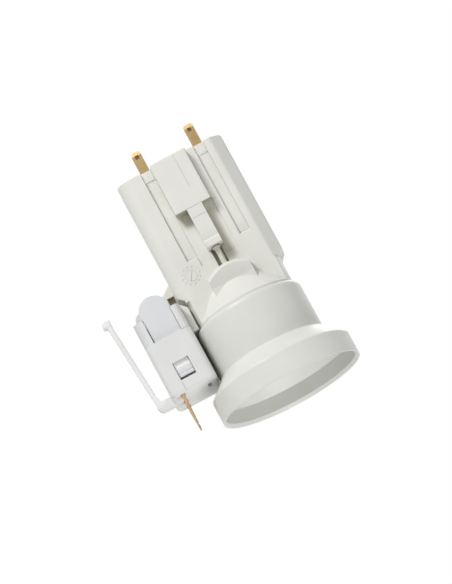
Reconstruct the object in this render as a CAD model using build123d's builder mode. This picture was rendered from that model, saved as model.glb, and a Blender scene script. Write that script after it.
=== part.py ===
"""Ceiling lamp holder with a spare plug clipped to its side, in millimetres.

+Z points up to the ceiling outlet and -Y is the front, where the latch is. The origin is the
centre of the cup's rim, on which the holder can also stand.
"""

import math
import os

from build123d import *

os.makedirs("parts", exist_ok=True)

# Outlet interface, the same on the holder and on the plug
pin_spacing = 19.8
pin_width = 3.4
pin_thickness = 1.2
pin_reach = 8.4
pin_corner = 0.6
pin_taper = 1.3
pin_edge = 0.45
pin_fit = 0.1
pin_dimple = 1.4
pin_dimple_height = 1.3
pin_dimple_depth = 0.5
pin_dimple_down = 1.9
outlet_depth = 16.8

# Skirt and cup
cup_radius = 25.4
cup_wall = 1.3
cup_straight = 8.0
cup_inner_straight = 6.1
cup_flare = 6.0
rim_bevel = 0.45
rim_bevel_height = 1.1
skirt_radius = 19.0
skirt_length = 17.5
skirt_shoulder = 1.9
skirt_ledge = 1.2
neck_fit = 0.15

# Neck of the body
neck_radius = 17.35
neck_wall = 1.6
neck_insertion = 18.3
shoulder_gap = 0.9
shoulder_height = 7.8
shoulder_slope = 0.853

# Upper body
body_width = 39.0
body_front = 6.7
body_height = 55.3
body_wall = 1.8
cavity_width = 30.4
waist = 34.8
waist_step = 0.05
waist_root = 3.0
wing_drop = 2.45
wing_drop_left = 1.1
wing_end_radius = 0.6
wing_front_left = 5.2
wing_front_left_depth = 3.8
wing_bevel_right = 4.0
wing_bevel_right_depth = 3.7
wing_bevel_radius = 1.6
back_corner = 2.5
top_corner = 0.6
top_corner_right = 1.1
chamber_lift = 1.6
lower_cavity_setback = 2.2

# Pins, their channels and the strips behind them
pin_offset = 1.3
pin_setback = 4.1
pin_length = 34.0
channel_width = 3.8
channel_depth = 2.6
channel_bridge = 3.7
channel_bridge_depth = 2.1
channel_ramp = 1.4
channel_length = 33.0
strip_thickness = 0.8
strip_lap = 8.0
strip_clearance = 0.1
foot_overlap = 1.6
foot_depth = 2.0
strip_rivet_radius = 1.2
strip_rivet_down = 3.0
rivet_radius = 0.9
rivet_head = 0.5

# Latch slider, its spring and its guide rod
latch_travel = 3.0
latch_width = 13.3
latch_head = 19.2
latch_tongue_width = 5.6
latch_tongue = 15.1
latch_proud = 4.1
latch_fit = 0.2
latch_lip = 1.1
latch_lip_height = 2.8
latch_lip_slope = 0.9
latch_edge = 0.7
latch_x = -0.03
tongue_x = 0.25
tongue_step = 0.15
head_seam = 2.0
head_seam_width = 0.3
head_seam_depth = 0.15
head_seam_length = 12.7
track_depth = 0.7
track_end = 0.4
slot_width = 3.8
slot_start = 47.1
slot_length = 20.0
leg_width = 1.2
leg_gap = 0.8
leg_length = 8.0
leg_down = 2.0
leg_end_fit = 0.4
leg_hook = 1.1
keeper_wall = 1.6
keeper_fit = 1.2
slot_blind_depth = 2.6
slot_through = 8.0
spring_radius = 1.2
spring_wire = 0.32
spring_turns = 11
spring_bore = 1.6
spring_space = 11.3
rod_radius = 0.65
rod_stem_radius = 0.9
rod_collar = 1.35
rod_above = 5.0
collar_gap = 0.3
rod_collar_height = 0.7
rod_seat = 2.0

# Arched hood under the slot
hood_width = 15.3
hood_proud = 4.0
hood_top = 46.3
hood_rise = 2.4
hood_bevel = 1.1
hood_tilt = 11.3
hood_x = 0.15

# Arm that reaches from the back of the left wing behind the plug's dome
arm_clearance = 0.4
arm_thickness = 2.4
arm_reach = 9.0
arm_height = 11.3
arm_drop = 6.5
arm_root = 3.2
arm_pocket = 2.3
arm_pocket_height = 2.5
arm_pocket_depth = 1.9
arm_pocket_down = 6.6
arm_lift = 1.2

# Moulded dial with plain dots and one pointer
dial_x = -11.4
dial_z = 48.6
dial_radius = 3.0
dial_dots = 12
dial_dot = 0.32
dial_depth = 0.12
dial_ring = 2.1
dial_line = 0.3
pointer_length = 3.2
pointer_turn = -32
pip_x = -6.2
pip_z = 45.2
pip_radius = 0.3

# Rear cover
cover_thickness = 1.5
cover_seat = 0.8
cover_fit = 0.15
cover_screw_radius = 1.1
cover_screw_head = 2.3
cover_screw_length = 8.0
screw_fit = 0.05
screw_slot = 0.6
boss_radius = 2.5
boss_down = 9.5
boss_drop = 0.5
cover_below_slot = 3.6

# Lamp socket
socket_mouth = 0.6
thread_root_radius = 13.35
shell_sheet = 0.3
shell_length = 15.6
shell_flange = 2.6
core_fit = 0.2
core_floor = 2.0
leaf_thickness = 0.5
leaf_width = 4.0
leaf_drop = 3.2
rivet_x = 6.5
rivet_y = 1.0
contact_rivet_head = 1.6

# Carrier between the neck and the plug
carrier_gap = 0.15
carrier_pad_thickness = 2.1
carrier_pad_bottom = 31.9
carrier_top_gap = 2.5
carrier_pad_front = 5.0
carrier_pad_depth = 14.0
carrier_web_front = 6.6
carrier_web_back = 9.0
carrier_web_fit = 0.3
carrier_web_bottom = 15.2
carrier_peg = 1.5
carrier_peg_length = 1.2
carrier_stud = 1.15
carrier_stud_width = 4.0
carrier_stud_height = 5.0
carrier_stud_up = 1.6
stud_y = 2.0
stud_fit = 0.15
peg_fit = 0.05

# Plug shell
plug_clearance = 0.3
plug_skirt_clearance = 0.8
plug_margin = 0.9
plug_bottom = 13.5
plug_height = 28.2
plug_panel_height = 19.6
plug_rail_left = 3.5
plug_rail_right = 3.0
plug_wall = 0.8
plug_side_wall = 1.3
plug_end_wall = 1.5
plug_edge = 2.2
plug_end_edge = 1.4
plug_fit = 0.2
plug_setback = 3.9
window_width = 5.7
window_height = 6.4
window_up = 4.3
window_left = 5.6
key_slot_width = 1.2
key_slot_length = 5.0
key_slot_in = 4.0
key_slot_front = 7.5

# Plug core, its finger and its dome
dome_fit = 0.1
dome_gap = 0.3
dome_radius = 5.3
dome_lift = 0.25
dome_centre_up = 29.4
dome_plate = 1.6
core_block_corner = 2.8
core_block_up = 31.6
core_roof = 1.4
chamber_side = 1.5
chamber_floor_up = 20.0
inlet_width = 7.4
inlet_depth = 6.4
clamp_screw = 0.8
clamp_screw_offset = 3.6
clamp_screw_length = 4.0
clamp_screw_head = 1.3
clamp_head_height = 0.9
clamp_height = 3.0
clamp_width = 3.0
clamp_gap = 0.3
clamp_side = 0.3
tab_gap = 0.5
tab_thickness = 1.1
tab_root_up = 15.2
tab_travel = 1.4
tab_fit = 0.3
terminal_width = 5.0
terminal_height = 7.0
terminal_pitch = 6.6
terminal_screw_radius = 1.45
terminal_screw_length = 6.4
terminal_screw_up = 2.4
terminal_offset = 1.0
bar_height = 1.2
blade_fit = 0.05

# Strap
strap_thickness = 1.6
strap_width = 4.0
strap_lug = 3.3
strap_lug_reach = 5.6
lug_up = 0.1
lug_corner = 2.0
strap_height = 30.4
strap_lean = 2.1
strap_head = 2.4
strap_hook = 1.7
strap_gap = 0.3


# Places worked out from the sizes above
skirt_bottom = cup_straight + cup_flare
skirt_top = skirt_bottom + skirt_length
skirt_bore = neck_radius + neck_fit
neck_end = skirt_top - neck_insertion
neck_bore = neck_radius - neck_wall
shoulder_bottom = skirt_top + shoulder_gap
shoulder_top = shoulder_bottom + shoulder_height
shoulder_radius = neck_radius - shoulder_slope * shoulder_height
body_top = shoulder_bottom + body_height
body_back = outlet_depth - body_front
half_body = body_width / 2
half_waist = waist / 2
wing_bottom = shoulder_top + wing_drop - (half_body - half_waist) / 2
pin_y = pin_setback - body_front
pin_x = (pin_offset - pin_spacing / 2, pin_offset + pin_spacing / 2)
pin_back = pin_y + pin_thickness / 2
neck_side = max(half_waist, neck_radius + waist_step) + carrier_gap
plug_right = -max(half_body + plug_clearance, skirt_radius + plug_skirt_clearance,
                  neck_side + carrier_pad_thickness + carrier_gap)
plug_width = pin_spacing + pin_width + 2 * plug_margin
lower_cavity_width = 2 * (pin_x[1] + pin_width / 2 + strip_clearance)
cavity_front = pin_back - pin_fit
channel_floor = channel_depth - body_front
shoulder_wall = neck_wall * math.hypot(1, shoulder_slope)
core_top = shoulder_bottom + chamber_lift
core_radius = neck_bore - core_fit
cone_start = shoulder_bottom - (shoulder_wall - neck_wall) / shoulder_slope
head_bottom = body_top - latch_head
tongue_bottom = head_bottom - latch_tongue
track_bottom = tongue_bottom - latch_travel - track_end
collar_top = tongue_bottom - collar_gap
leg_low = head_bottom - leg_length - leg_down


def cone_bore(z):
    """Inner radius of the neck at a height, which follows the conical shoulder."""
    return min(neck_bore, neck_radius - shoulder_wall - shoulder_slope * (z - shoulder_bottom))


def box_between(low, high, mode=Mode.ADD):
    """Adds or cuts the box between two corners."""
    size = [b - a for a, b in zip(low, high)]
    centre = tuple((a + b) / 2 for a, b in zip(low, high))
    with Locations(centre):
        Box(*size, mode=mode)


def save(piece, label):
    """Labels a finished piece and writes it."""
    piece.label = label
    export_step(piece, f"parts/{label}.step")


# Skirt: a plain cylinder that flares out into the cup
ledge_radius = neck_bore + skirt_ledge / 2
ledge_bottom = neck_end - skirt_ledge
with BuildPart() as skirt:
    with BuildSketch(Plane.XZ):
        with BuildLine():
            inner = cup_radius - cup_wall
            throat = inner - (ledge_bottom - cup_inner_straight)
            Polyline(
                (skirt_bore, skirt_top), (skirt_bore, neck_end), (ledge_radius, neck_end),
                (ledge_radius, ledge_bottom), (throat, ledge_bottom), (inner, cup_inner_straight),
                (inner, rim_bevel_height), (cup_radius - rim_bevel, 0), (cup_radius, 0),
                (cup_radius, cup_straight), (skirt_radius, skirt_bottom),
                (skirt_radius, skirt_top - skirt_shoulder),
            )
            Bezier(
                (skirt_radius, skirt_top - skirt_shoulder), (skirt_radius, skirt_top),
                (skirt_bore, skirt_top),
            )
        make_face()
    revolve(axis=Axis.Z)
    fillet(skirt.edges().filter_by(GeomType.CIRCLE).filter_by(
        lambda e: abs(e.radius - cup_radius) < 0.01 and e.center().Z > cup_straight / 2), 1.2)
save(skirt.part, "skirt")


# Body: neck, conical shoulder, waist, wings and hood in one moulding
def wing_plan():
    """Outline of the upper body, curved at the front left and bevelled at the front right."""
    left_start = -half_body + wing_front_left
    right_start = half_body - wing_bevel_right
    with BuildSketch(Plane.XY.offset(wing_bottom)) as plan:
        with BuildLine():
            TangentArc(
                (left_start, -body_front), (-half_body, -body_front + wing_front_left_depth),
                tangent=(-1, 0),
            )
            FilletPolyline(
                (-half_body, -body_front + wing_front_left_depth), (-half_body, body_back),
                (half_body, body_back), (half_body, -body_front + wing_bevel_right_depth),
                (right_start, -body_front), (left_start, -body_front),
                radius=(back_corner, back_corner, wing_bevel_radius, wing_bevel_radius),
            )
        make_face()
    return plan.sketch


flare = half_body - half_waist
left_bottom = wing_bottom + wing_drop_left
end_radius = min(wing_end_radius, flare / 2)
slot_end = slot_start + slot_length
pocket = (slot_width / 2 + leg_hook + keeper_fit, -body_front + track_depth + keeper_wall)
arm_y = plug_width / 2 + arm_clearance
arm_low = plug_bottom + plug_height + arm_lift
arm_top = arm_low + arm_height
stud_low = carrier_pad_bottom + carrier_stud_up
stud_z = (stud_low, stud_low + carrier_stud_height)
peg_z = (stud_z[0] + stud_z[1]) / 2
boss_places = ((0, slot_start - boss_drop), (0, body_top - boss_down))
cavity_top = body_top - body_wall
cover_low = (-cavity_width / 2 - cover_seat, slot_start - cover_below_slot)
cover_high = (cavity_width / 2 + cover_seat, cavity_top + cover_seat)
latch_y = -body_front - latch_proud
latch_back = -body_front + track_depth - latch_fit
spring_y = (latch_y + latch_back) / 2

# Hood: an arched plate that leans out towards the top, with its top front edge cut at 45 degrees
with BuildPart() as hood:
    hood_low = shoulder_bottom + shoulder_height / 4
    hood_end = hood_top - hood_rise
    hood_lean = math.tan(math.radians(hood_tilt)) * (hood_top - shoulder_top)
    with BuildSketch(Plane.XZ.offset(body_front - body_wall / 2)):
        with BuildLine():
            ThreePointArc((hood_x - hood_width / 2, hood_end), (hood_x, hood_top),
                          (hood_x + hood_width / 2, hood_end))
            Polyline((hood_x + hood_width / 2, hood_end), (hood_x + hood_width / 2, hood_low),
                     (hood_x - hood_width / 2, hood_low), (hood_x - hood_width / 2, hood_end))
        make_face()
    extrude(amount=hood_proud + hood_lean + body_wall / 2)
    with BuildSketch(Plane.YZ.offset(hood_x)):
        with BuildLine():
            face_low = -body_front - hood_proud
            far = face_low - 2 * hood_lean
            Polyline((face_low, hood_low), (face_low, shoulder_top), (face_low - hood_lean, hood_top),
                     (far, hood_top), (far, hood_low), (face_low, hood_low))
        make_face()
    extrude(amount=hood_width, both=True, mode=Mode.SUBTRACT)
    leaning_face = hood.faces().sort_by(Axis.Y)[0]
    chamfer(leaning_face.edges().sort_by(Axis.Z)[-1], hood_bevel)

with BuildPart() as body_housing:
    # Wings, cut to a 45 degree end and rounded at the top corners
    extrude(wing_plan(), amount=body_top - wing_bottom)
    with BuildSketch(Plane.XZ.offset(-body_back)):
        with BuildLine():
            FilletPolyline(
                (half_waist, wing_bottom), (half_body, wing_bottom + flare), (half_body, body_top),
                (-half_body, body_top), (-half_body, left_bottom + flare), (-half_waist, left_bottom),
                (-half_waist, wing_bottom), (half_waist, wing_bottom),
                radius=(0, end_radius, top_corner_right, top_corner, end_radius, 0, 0),
            )
        make_face()
    extrude(amount=outlet_depth, mode=Mode.INTERSECT)
    add(hood.part)
    # Waist: the neck's circle with a flat at the front and at the back
    with BuildSketch(Plane.XY.offset(shoulder_bottom - waist_root)):
        Circle(neck_radius - waist_step)
        with Locations((0, outlet_depth / 2 - body_front)):
            Rectangle(body_width, outlet_depth, mode=Mode.INTERSECT)
    extrude(amount=wing_bottom - shoulder_bottom + waist_root)
    # Neck sleeve and shoulder
    with BuildSketch(Plane.XZ):
        with BuildLine():
            Polyline((0, neck_end), (neck_radius, neck_end), (neck_radius, shoulder_bottom),
                     (shoulder_radius, shoulder_top), (0, shoulder_top), (0, neck_end))
        make_face()
    revolve(axis=Axis.Z)
    # Chamber for the socket core, closed by a cone that follows the shoulder
    with BuildSketch(Plane.XZ):
        with BuildLine():
            chamber_top = core_top + core_fit
            Polyline((0, neck_end), (neck_bore, neck_end), (neck_bore, cone_start),
                     (cone_bore(chamber_top), chamber_top), (0, chamber_top), (0, neck_end))
        make_face()
    revolve(axis=Axis.Z, mode=Mode.SUBTRACT)
    # Cavity for the strips, open at the back, and the rebate for its cover
    box_between((-lower_cavity_width / 2, cavity_front, chamber_top - 0.01),
                (lower_cavity_width / 2, body_back - lower_cavity_setback, cover_low[1] + cover_seat),
                Mode.SUBTRACT)
    box_between((-cavity_width / 2, cavity_front, cover_low[1] + cover_seat),
                (cavity_width / 2, body_back, cavity_top), Mode.SUBTRACT)
    box_between((cover_low[0], body_back - cover_thickness, cover_low[1]),
                (cover_high[0], body_back, cover_high[1]), Mode.SUBTRACT)
    # Track, slot and rear pocket of the latch
    box_between((-latch_width / 2 + latch_x - latch_fit, -body_front, track_bottom),
                (latch_width / 2 + latch_x + latch_fit, -body_front + track_depth, body_top),
                Mode.SUBTRACT)
    box_between((-slot_width / 2, -body_front, slot_start),
                (slot_width / 2, -body_front + slot_blind_depth, slot_end), Mode.SUBTRACT)
    box_between((-slot_width / 2, -body_front, slot_start + slot_through),
                (slot_width / 2, cavity_front, slot_end), Mode.SUBTRACT)
    box_between((-pocket[0], pocket[1], slot_start + slot_through),
                (pocket[0], cavity_front, slot_end), Mode.SUBTRACT)
    # Pin channels with a ramped end and a shallower bridge, pin seats and pin exits
    for x in pin_x:
        with BuildSketch(Plane.YZ.offset(x - channel_width / 2)):
            with BuildLine():
                ramp = body_top - channel_length
                bridge = body_top - channel_bridge
                Polyline(
                    (-body_front, ramp - channel_ramp), (channel_floor, ramp), (channel_floor, bridge),
                    (-body_front + channel_bridge_depth, bridge),
                    (-body_front + channel_bridge_depth, body_top), (-body_front, body_top),
                    (-body_front, ramp - channel_ramp),
                )
            make_face()
        extrude(amount=channel_width, mode=Mode.SUBTRACT)
        side = pin_width / 2 + pin_fit
        pin_seat = body_top + pin_reach - pin_length - 1
        box_between((x - side, pin_y - pin_thickness / 2 - pin_fit, pin_seat),
                    (x + side, pin_back + pin_fit, body_top), Mode.SUBTRACT)
    # Bosses for the cover screws
    for x, z in boss_places:
        with Locations(Plane(origin=(x, cavity_front - 0.2, z), z_dir=(0, 1, 0))):
            Cylinder(boss_radius, body_back - cover_thickness - cavity_front + 0.2,
                     align=(Align.CENTER, Align.CENTER, Align.MIN))
            Cylinder(cover_screw_radius, body_back - cavity_front + cover_thickness,
                     align=(Align.CENTER, Align.CENTER, Align.MIN), mode=Mode.SUBTRACT)
    # Hole in the hood for the guide rod
    with Locations((tongue_x, spring_y, hood_top - rod_seat)):
        Cylinder(rod_stem_radius, rod_seat * 2, align=(Align.CENTER, Align.CENTER, Align.MIN),
                 mode=Mode.SUBTRACT)
    # Rear arm with a small square pocket
    with BuildSketch(Plane.XZ.offset(-arm_y)):
        with BuildLine():
            Polyline((-half_body + arm_root, arm_low), (-half_body + arm_root, arm_top),
                     (-half_body, arm_top), (-half_body - arm_reach, arm_top - arm_drop),
                     (-half_body - arm_reach, arm_low), (-half_body + arm_root, arm_low))
        make_face()
    extrude(amount=-arm_thickness)
    box_between((-half_body, body_back - back_corner, arm_low),
                (-half_body + arm_root, arm_y + 0.1, arm_top))
    pocket_right = -half_body - plug_clearance
    box_between((pocket_right - arm_pocket, arm_y, arm_top - arm_pocket_down),
                (pocket_right, arm_y + arm_pocket_depth, arm_top - arm_pocket_down + arm_pocket_height),
                Mode.SUBTRACT)
    # Hole for the carrier's peg
    hole_end = carrier_peg_length + carrier_gap - neck_side
    with Locations(Plane(origin=(hole_end, stud_y, peg_z), z_dir=(-1, 0, 0))):
        Cylinder(carrier_peg + peg_fit, 2 * carrier_peg_length,
                 align=(Align.CENTER, Align.CENTER, Align.MIN), mode=Mode.SUBTRACT)
    # Dial: a ring of dots round a line with one pointer, and a small pip beside the hood
    with Locations(Plane(origin=(dial_x, -body_front, dial_z), x_dir=(1, 0, 0), z_dir=(0, -1, 0))):
        with PolarLocations(dial_radius, dial_dots):
            Cylinder(dial_dot, 2 * dial_depth, mode=Mode.SUBTRACT)
        Cylinder(dial_ring, dial_depth, mode=Mode.SUBTRACT)
        Cylinder(dial_ring - dial_line, dial_depth)
        Box(dial_line, pointer_length, 2 * dial_depth, rotation=(0, 0, pointer_turn),
            mode=Mode.SUBTRACT)
    with Locations(Plane(origin=(pip_x, -body_front, pip_z), z_dir=(0, -1, 0))):
        Cylinder(pip_radius, 2 * dial_depth, mode=Mode.SUBTRACT)
save(body_housing.part, "body_housing")


# Rear cover with two screws
with BuildPart() as rear_cover:
    box_between((cover_low[0] + cover_fit, body_back - cover_thickness, cover_low[1] + cover_fit),
                (cover_high[0] - cover_fit, body_back, cover_high[1] - cover_fit))
    fillet(rear_cover.edges().filter_by(Axis.Y), 1.0)
    chamfer(rear_cover.faces().sort_by(Axis.Y)[-1].edges(), 0.3)
    for x, z in boss_places:
        with Locations(Plane(origin=(x, body_back, z), z_dir=(0, 1, 0))):
            CounterSinkHole(cover_screw_radius + 0.2, cover_screw_head, counter_sink_angle=90)
save(rear_cover.part, "rear_cover")

with BuildPart() as cover_screws:
    sink = cover_screw_head - cover_screw_radius
    cross = 1.3 * cover_screw_head
    for x, z in boss_places:
        with Locations(Plane(origin=(x, body_back - 0.1, z), z_dir=(0, -1, 0))):
            Cylinder(cover_screw_radius - screw_fit, cover_screw_length,
                     align=(Align.CENTER, Align.CENTER, Align.MIN))
            Cone(cover_screw_head - cover_fit, cover_screw_radius - screw_fit, sink - 2 * screw_fit,
                 align=(Align.CENTER, Align.CENTER, Align.MIN))
            for width, height in ((cross, screw_slot), (screw_slot, cross)):
                Box(width, height, 1.5 * screw_slot, mode=Mode.SUBTRACT)
save(cover_screws.part, "cover_screws")


# Pins: flat bars with bevelled tips and a dimple near each tip
def flat_pin(x, y, wide_axis, tip_z, length, up):
    """Makes a flat pin with its tip at tip_z; up is 1 for a tip that points up."""
    wide, thin = ((1, 0, 0), (0, 1, 0)) if wide_axis == "x" else ((0, 1, 0), (1, 0, 0))
    half, half_edge = pin_thickness / 2, pin_edge / 2
    with BuildPart() as pin:
        with BuildSketch(Plane(origin=(x, y, tip_z), x_dir=wide, z_dir=Vector(*wide).cross(
                Vector(0, 0, up)))):
            with BuildLine():
                side, corner = pin_width / 2, pin_width / 2 - pin_corner
                Polyline((-side, -length), (side, -length), (side, -pin_corner), (corner, 0),
                         (-corner, 0), (-side, -pin_corner), (-side, -length))
            make_face()
        extrude(amount=half, both=True)
        with BuildSketch(Plane(origin=(x, y, tip_z), x_dir=thin, z_dir=Vector(*thin).cross(
                Vector(0, 0, up)))):
            with BuildLine():
                Polyline((-half, -length), (half, -length), (half, -pin_taper), (half_edge, 0),
                         (-half_edge, 0), (-half, -pin_taper), (-half, -length))
            make_face()
        extrude(amount=pin_width, both=True, mode=Mode.INTERSECT)
    return pin.part


def dimpled(piece, x, y, z):
    """Punches the shallow square dimple in a pin's front face."""
    with BuildPart() as pin:
        add(piece)
        with Locations(Plane(origin=(x, y - pin_thickness / 2, z), z_dir=(0, -1, 0))):
            Box(pin_dimple, pin_dimple_height, 2 * pin_dimple_depth, mode=Mode.SUBTRACT)
    return pin.part


for x, name in zip(pin_x, ("neutral_pin", "live_pin")):
    blank = flat_pin(x, pin_y, "x", body_top + pin_reach, pin_length, 1)
    save(dimpled(blank, x, pin_y, body_top + pin_reach - pin_dimple_down), name)


# Strips: from the back of each pin down to a foot on the socket core
strip_top = body_top + pin_reach - pin_length + strip_lap
foot_back = rivet_y + foot_depth
for x, name in zip(pin_x, ("neutral_strip", "live_strip")):
    side = math.copysign(1, x)
    inner_x, outer_x = side * (rivet_x - foot_overlap), x + side * pin_width / 2
    with BuildPart() as strip:
        box_between((x - pin_width / 2, pin_back, core_top),
                    (x + pin_width / 2, pin_back + strip_thickness, strip_top))
        box_between((min(inner_x, outer_x), pin_back, core_top),
                    (max(inner_x, outer_x), foot_back, core_top + strip_thickness))
        with Locations((side * rivet_x, rivet_y, core_top)):
            Cylinder(rivet_radius, 4 * strip_thickness, mode=Mode.SUBTRACT)
    save(strip.part, name)

with BuildPart() as strip_rivets:
    for x in pin_x:
        with Locations(Plane(origin=(x, pin_back + strip_thickness, strip_top - strip_rivet_down),
                             z_dir=(0, 1, 0))):
            Cylinder(strip_rivet_radius, rivet_head, align=(Align.CENTER, Align.CENTER, Align.MIN))
    fillet(strip_rivets.faces().sort_by(Axis.Y)[-1].edges(), rivet_head * 0.6)
save(strip_rivets.part, "strip_rivets")


# Socket core: an insulating cup with its floor at the top
core_bottom = neck_end
floor_bottom = core_top - core_floor
with BuildPart() as socket_core:
    with BuildSketch(Plane.XZ):
        with BuildLine():
            sleeve = thread_root_radius + shell_sheet + core_fit
            Polyline(
                (0, core_top), (cone_bore(core_top) - core_fit * 1.2, core_top),
                (core_radius, cone_start - core_fit), (core_radius, core_bottom), (sleeve, core_bottom),
                (sleeve, floor_bottom), (0, floor_bottom), (0, core_top),
            )
        make_face()
    revolve(axis=Axis.Z)
    for side in (-1, 1):
        with Locations((side * rivet_x, rivet_y, core_top)):
            Cylinder(rivet_radius, 3 * core_floor, mode=Mode.SUBTRACT)
save(socket_core.part, "socket_core")


# Screw shell: plain sleeve at the root radius of the lamp thread, with a flange at the top
shell_bottom = core_bottom - socket_mouth
shell_top = shell_bottom + shell_length
with BuildPart() as screw_shell:
    with BuildSketch(Plane.XZ):
        with BuildLine():
            outer = thread_root_radius + shell_sheet
            Polyline(
                (thread_root_radius, shell_bottom), (outer, shell_bottom), (outer, shell_top),
                (outer - shell_flange, shell_top), (outer - shell_flange, shell_top - shell_sheet),
                (thread_root_radius, shell_top - shell_sheet), (thread_root_radius, shell_bottom),
            )
        make_face()
    revolve(axis=Axis.Z)
save(screw_shell.part, "screw_shell")


# Contact leaves under the core's floor
leaf_mid = floor_bottom - leaf_thickness / 2
with BuildPart() as centre_contact:
    with BuildSketch(Plane.XZ.offset(-rivet_y + leaf_width / 2 - leaf_width)):
        with BuildLine():
            FilletPolyline(
                (rivet_x + 2, leaf_mid), (rivet_x - 2, leaf_mid), (2.2, leaf_mid - leaf_drop),
                (-1.6, leaf_mid - leaf_drop), (-3.0, leaf_mid - leaf_drop + 1.2), radius=0.6,
            )
        trace(line_width=leaf_thickness)
    extrude(amount=leaf_width)
    with Locations((rivet_x, rivet_y, leaf_mid)):
        Cylinder(rivet_radius, 4 * leaf_thickness, mode=Mode.SUBTRACT)
save(centre_contact.part, "centre_contact")

with BuildPart() as side_contact:
    with BuildSketch(Plane.XZ.offset(-rivet_y + leaf_width / 2 - leaf_width)):
        with BuildLine():
            rest_z = shell_top + leaf_thickness / 2
            FilletPolyline(
                (-rivet_x + 2, leaf_mid), (-rivet_x - 2.6, leaf_mid),
                (-thread_root_radius + 2.4, rest_z), (-thread_root_radius + 0.6, rest_z), radius=0.5,
            )
        trace(line_width=leaf_thickness)
    extrude(amount=leaf_width)
    with Locations((-rivet_x, rivet_y, leaf_mid)):
        Cylinder(rivet_radius, 4 * leaf_thickness, mode=Mode.SUBTRACT)
save(side_contact.part, "side_contact")

with BuildPart() as contact_rivets:
    rivet_top = core_top + strip_thickness
    rivet_bottom = floor_bottom - leaf_thickness
    for side in (-1, 1):
        with Locations((side * rivet_x, rivet_y, rivet_bottom)):
            Cylinder(rivet_radius, rivet_top - rivet_bottom,
                     align=(Align.CENTER, Align.CENTER, Align.MIN))
            Cylinder(contact_rivet_head, rivet_head,
                     align=(Align.CENTER, Align.CENTER, Align.MAX))
        with Locations((side * rivet_x, rivet_y, rivet_top)):
            Cylinder(contact_rivet_head, rivet_head,
                     align=(Align.CENTER, Align.CENTER, Align.MIN))
save(contact_rivets.part, "contact_rivets")


# Guide rod: thin below, thicker above, with a collar that carries the spring
rod_top = collar_top + rod_above
with BuildPart() as spring_rod:
    with BuildSketch(Plane.XZ.offset(-spring_y)):
        with BuildLine():
            x = tongue_x
            collar_low = collar_top - rod_collar_height
            Polyline(
                (x, hood_top - rod_seat), (x + rod_stem_radius, hood_top - rod_seat),
                (x + rod_stem_radius, collar_low), (x + rod_collar, collar_low),
                (x + rod_collar, collar_top), (x + rod_radius, collar_top), (x + rod_radius, rod_top),
                (x, rod_top), (x, hood_top - rod_seat),
            )
        make_face()
    revolve(axis=Axis((tongue_x, spring_y, 0), (0, 0, 1)))
save(spring_rod.part, "spring_rod")


# Spring: a coil between the collar and the end of the tongue's bore
with BuildPart() as latch_spring:
    spring_bottom = collar_top + spring_wire / 2
    coil_height = tongue_bottom + spring_space - spring_bottom - spring_wire / 2 - 0.15
    with BuildLine() as coil:
        Helix(pitch=coil_height / spring_turns, height=coil_height, radius=spring_radius,
              center=(tongue_x, spring_y, spring_bottom))
    with BuildSketch(Plane(origin=coil.line @ 0, z_dir=coil.line % 0)):
        Circle(spring_wire / 2)
    sweep()
save(latch_spring.part, "latch_spring")


# Latch slider: head, tongue with finger lip, snap legs through the slot
hook_y = pocket[1] + latch_fit
with BuildPart() as latch_slider:
    box_between((latch_x - latch_width / 2, latch_y, head_bottom),
                (latch_x + latch_width / 2, latch_back, body_top))
    fillet(latch_slider.edges().filter_by(Axis.Z).group_by(Axis.Y)[0], latch_edge)
    chamfer(latch_slider.faces().sort_by(Axis.Z)[-1].edges().sort_by(Axis.Y)[0], latch_edge / 2)
    box_between((tongue_x - latch_tongue_width / 2, latch_y + tongue_step, tongue_bottom),
                (tongue_x + latch_tongue_width / 2, latch_back, head_bottom + 1))
    with BuildSketch(Plane.YZ.offset(tongue_x - latch_tongue_width / 2)):
        with BuildLine():
            lip_top = tongue_bottom + latch_lip_height
            Polyline((latch_y, lip_top), (latch_y - latch_lip, lip_top - latch_lip_slope),
                     (latch_y - latch_lip, tongue_bottom), (latch_y + latch_edge, tongue_bottom),
                     (latch_y + latch_edge, lip_top), (latch_y, lip_top))
        make_face()
    extrude(amount=latch_tongue_width)
    box_between((head_seam, latch_y, body_top - head_seam_length),
                (head_seam + head_seam_width, latch_y + head_seam_depth, body_top), Mode.SUBTRACT)
    with Locations((tongue_x, spring_y, tongue_bottom)):
        Cylinder(spring_bore, spring_space, align=(Align.CENTER, Align.CENTER, Align.MIN),
                 mode=Mode.SUBTRACT)
    for side in (-1, 1):
        edge = side * leg_gap / 2
        tip = side * (leg_gap / 2 + leg_width)
        box_between((min(edge, tip), latch_back - latch_fit, leg_low),
                    (max(edge, tip), cavity_front - leg_end_fit, leg_low + leg_length))
        reach = tip + side * leg_hook
        box_between((min(edge, reach), hook_y, leg_low),
                    (max(edge, reach), cavity_front - leg_end_fit, leg_low + leg_length))
save(latch_slider.part, "latch_slider")


# Plug shell: open at the top, its front and back panels cut down between two rails
plug_left = plug_right - outlet_depth
plug_half = plug_width / 2
plug_top = plug_bottom + plug_height
panel_top = plug_bottom + plug_panel_height
core_x = (plug_left + plug_side_wall, plug_right - plug_side_wall)
gap_x = (plug_left + plug_rail_left, plug_right - plug_rail_right)
blade_x = plug_left + plug_setback
cavity_bottom = plug_bottom + plug_end_wall
window_x = (plug_left + window_left, plug_left + window_left + window_width)
window_z = (plug_bottom + window_up, plug_bottom + window_up + window_height)
blade_y = (-pin_spacing / 2, 0, pin_spacing / 2)
stud_half = carrier_stud_width / 2
strap_x = plug_left - strap_lug_reach

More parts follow.
